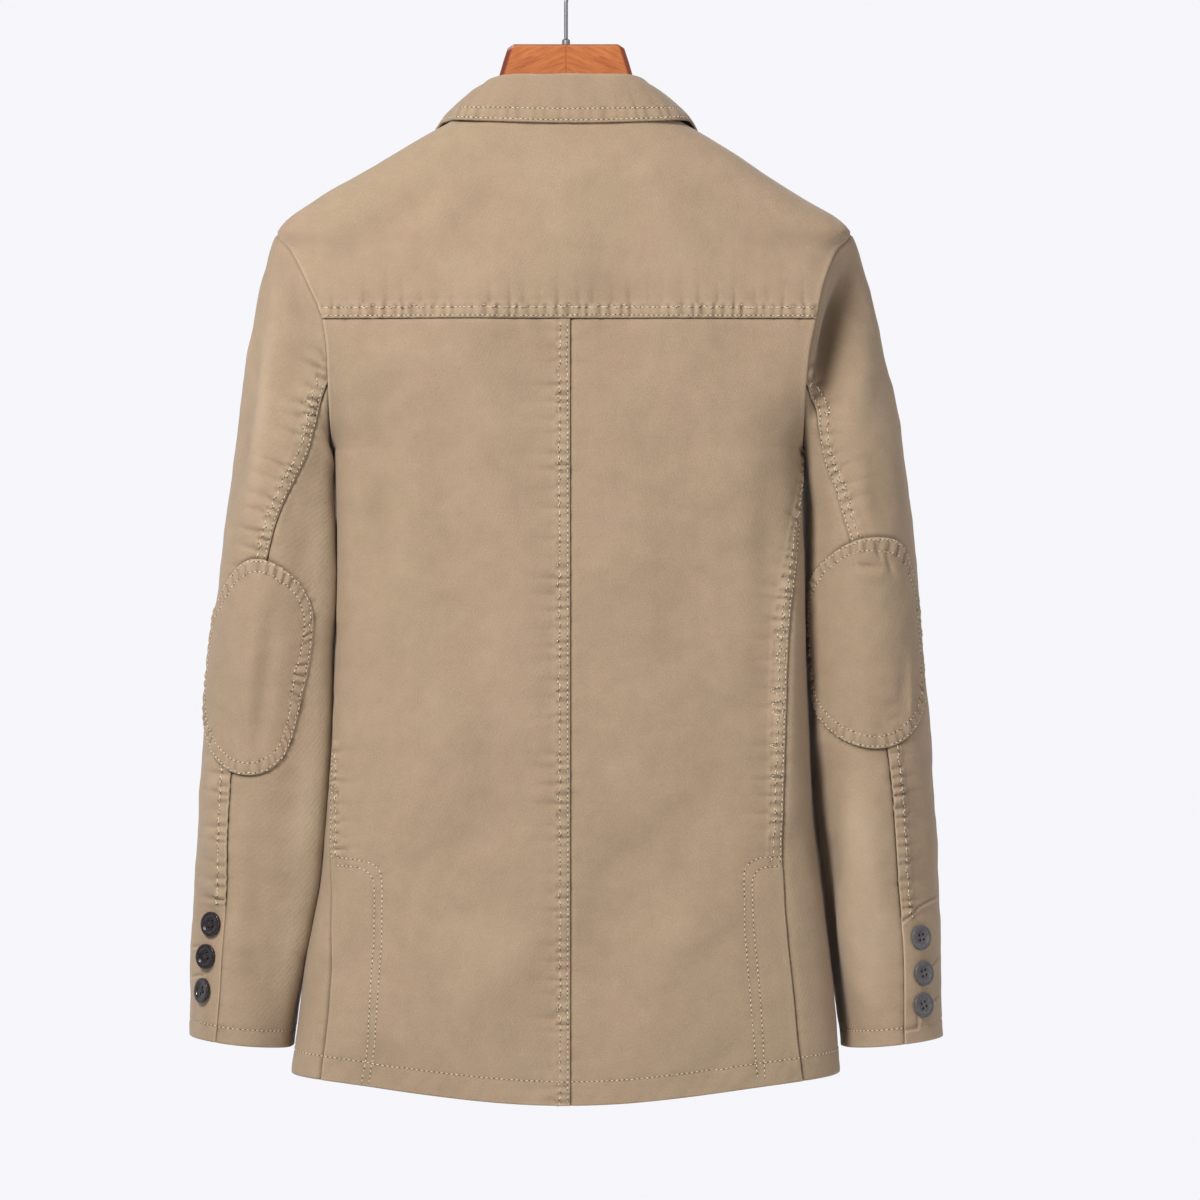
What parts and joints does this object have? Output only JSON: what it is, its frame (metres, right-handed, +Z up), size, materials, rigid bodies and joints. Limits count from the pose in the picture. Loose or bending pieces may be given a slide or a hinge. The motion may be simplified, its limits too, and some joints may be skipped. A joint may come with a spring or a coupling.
{
  "type": "blazer on a hanger",
  "caption": "Casual cotton twill blazer with elbow patches, hung open-necked on a wooden hanger, seen from the back.",
  "frame": {"origin": "inside top of the hook's bend, where it hangs on a rail or peg", "axes": "+Z up, +Y towards the blazer's front, +X to the wearer's right"},
  "size_m": [0.552, 0.1376, 0.8496],
  "materials": {
    "cloth": "washed matte twill",
    "patch": "washed matte twill",
    "dark_button": "gloss",
    "grey_button": "satin",
    "wood": "varnished",
    "steel": "polished"
  },
  "bodies": {
    "root": {"yoke": "cloth", "collar": "cloth", "back_left": "cloth", "back_right": "cloth", "side_left": "cloth", "side_right": "cloth", "front_left": "cloth", "front_right": "cloth", "lapel_left": "cloth", "lapel_right": "cloth", "topsleeve_left": "cloth", "topsleeve_right": "cloth", "undersleeve_left": "cloth", "undersleeve_right": "cloth", "patch_left": "patch", "patch_right": "patch", "button_left_1": "dark_button", "button_right_1": "grey_button", "button_left_2": "dark_button", "button_right_2": "grey_button", "button_left_3": "dark_button", "button_right_3": "grey_button", "button_front_1": "dark_button", "button_front_2": "dark_button", "hanger_wood": "wood", "hanger_ferrule": "steel", "hanger_hook": "steel"}
  },
  "joints": []
}
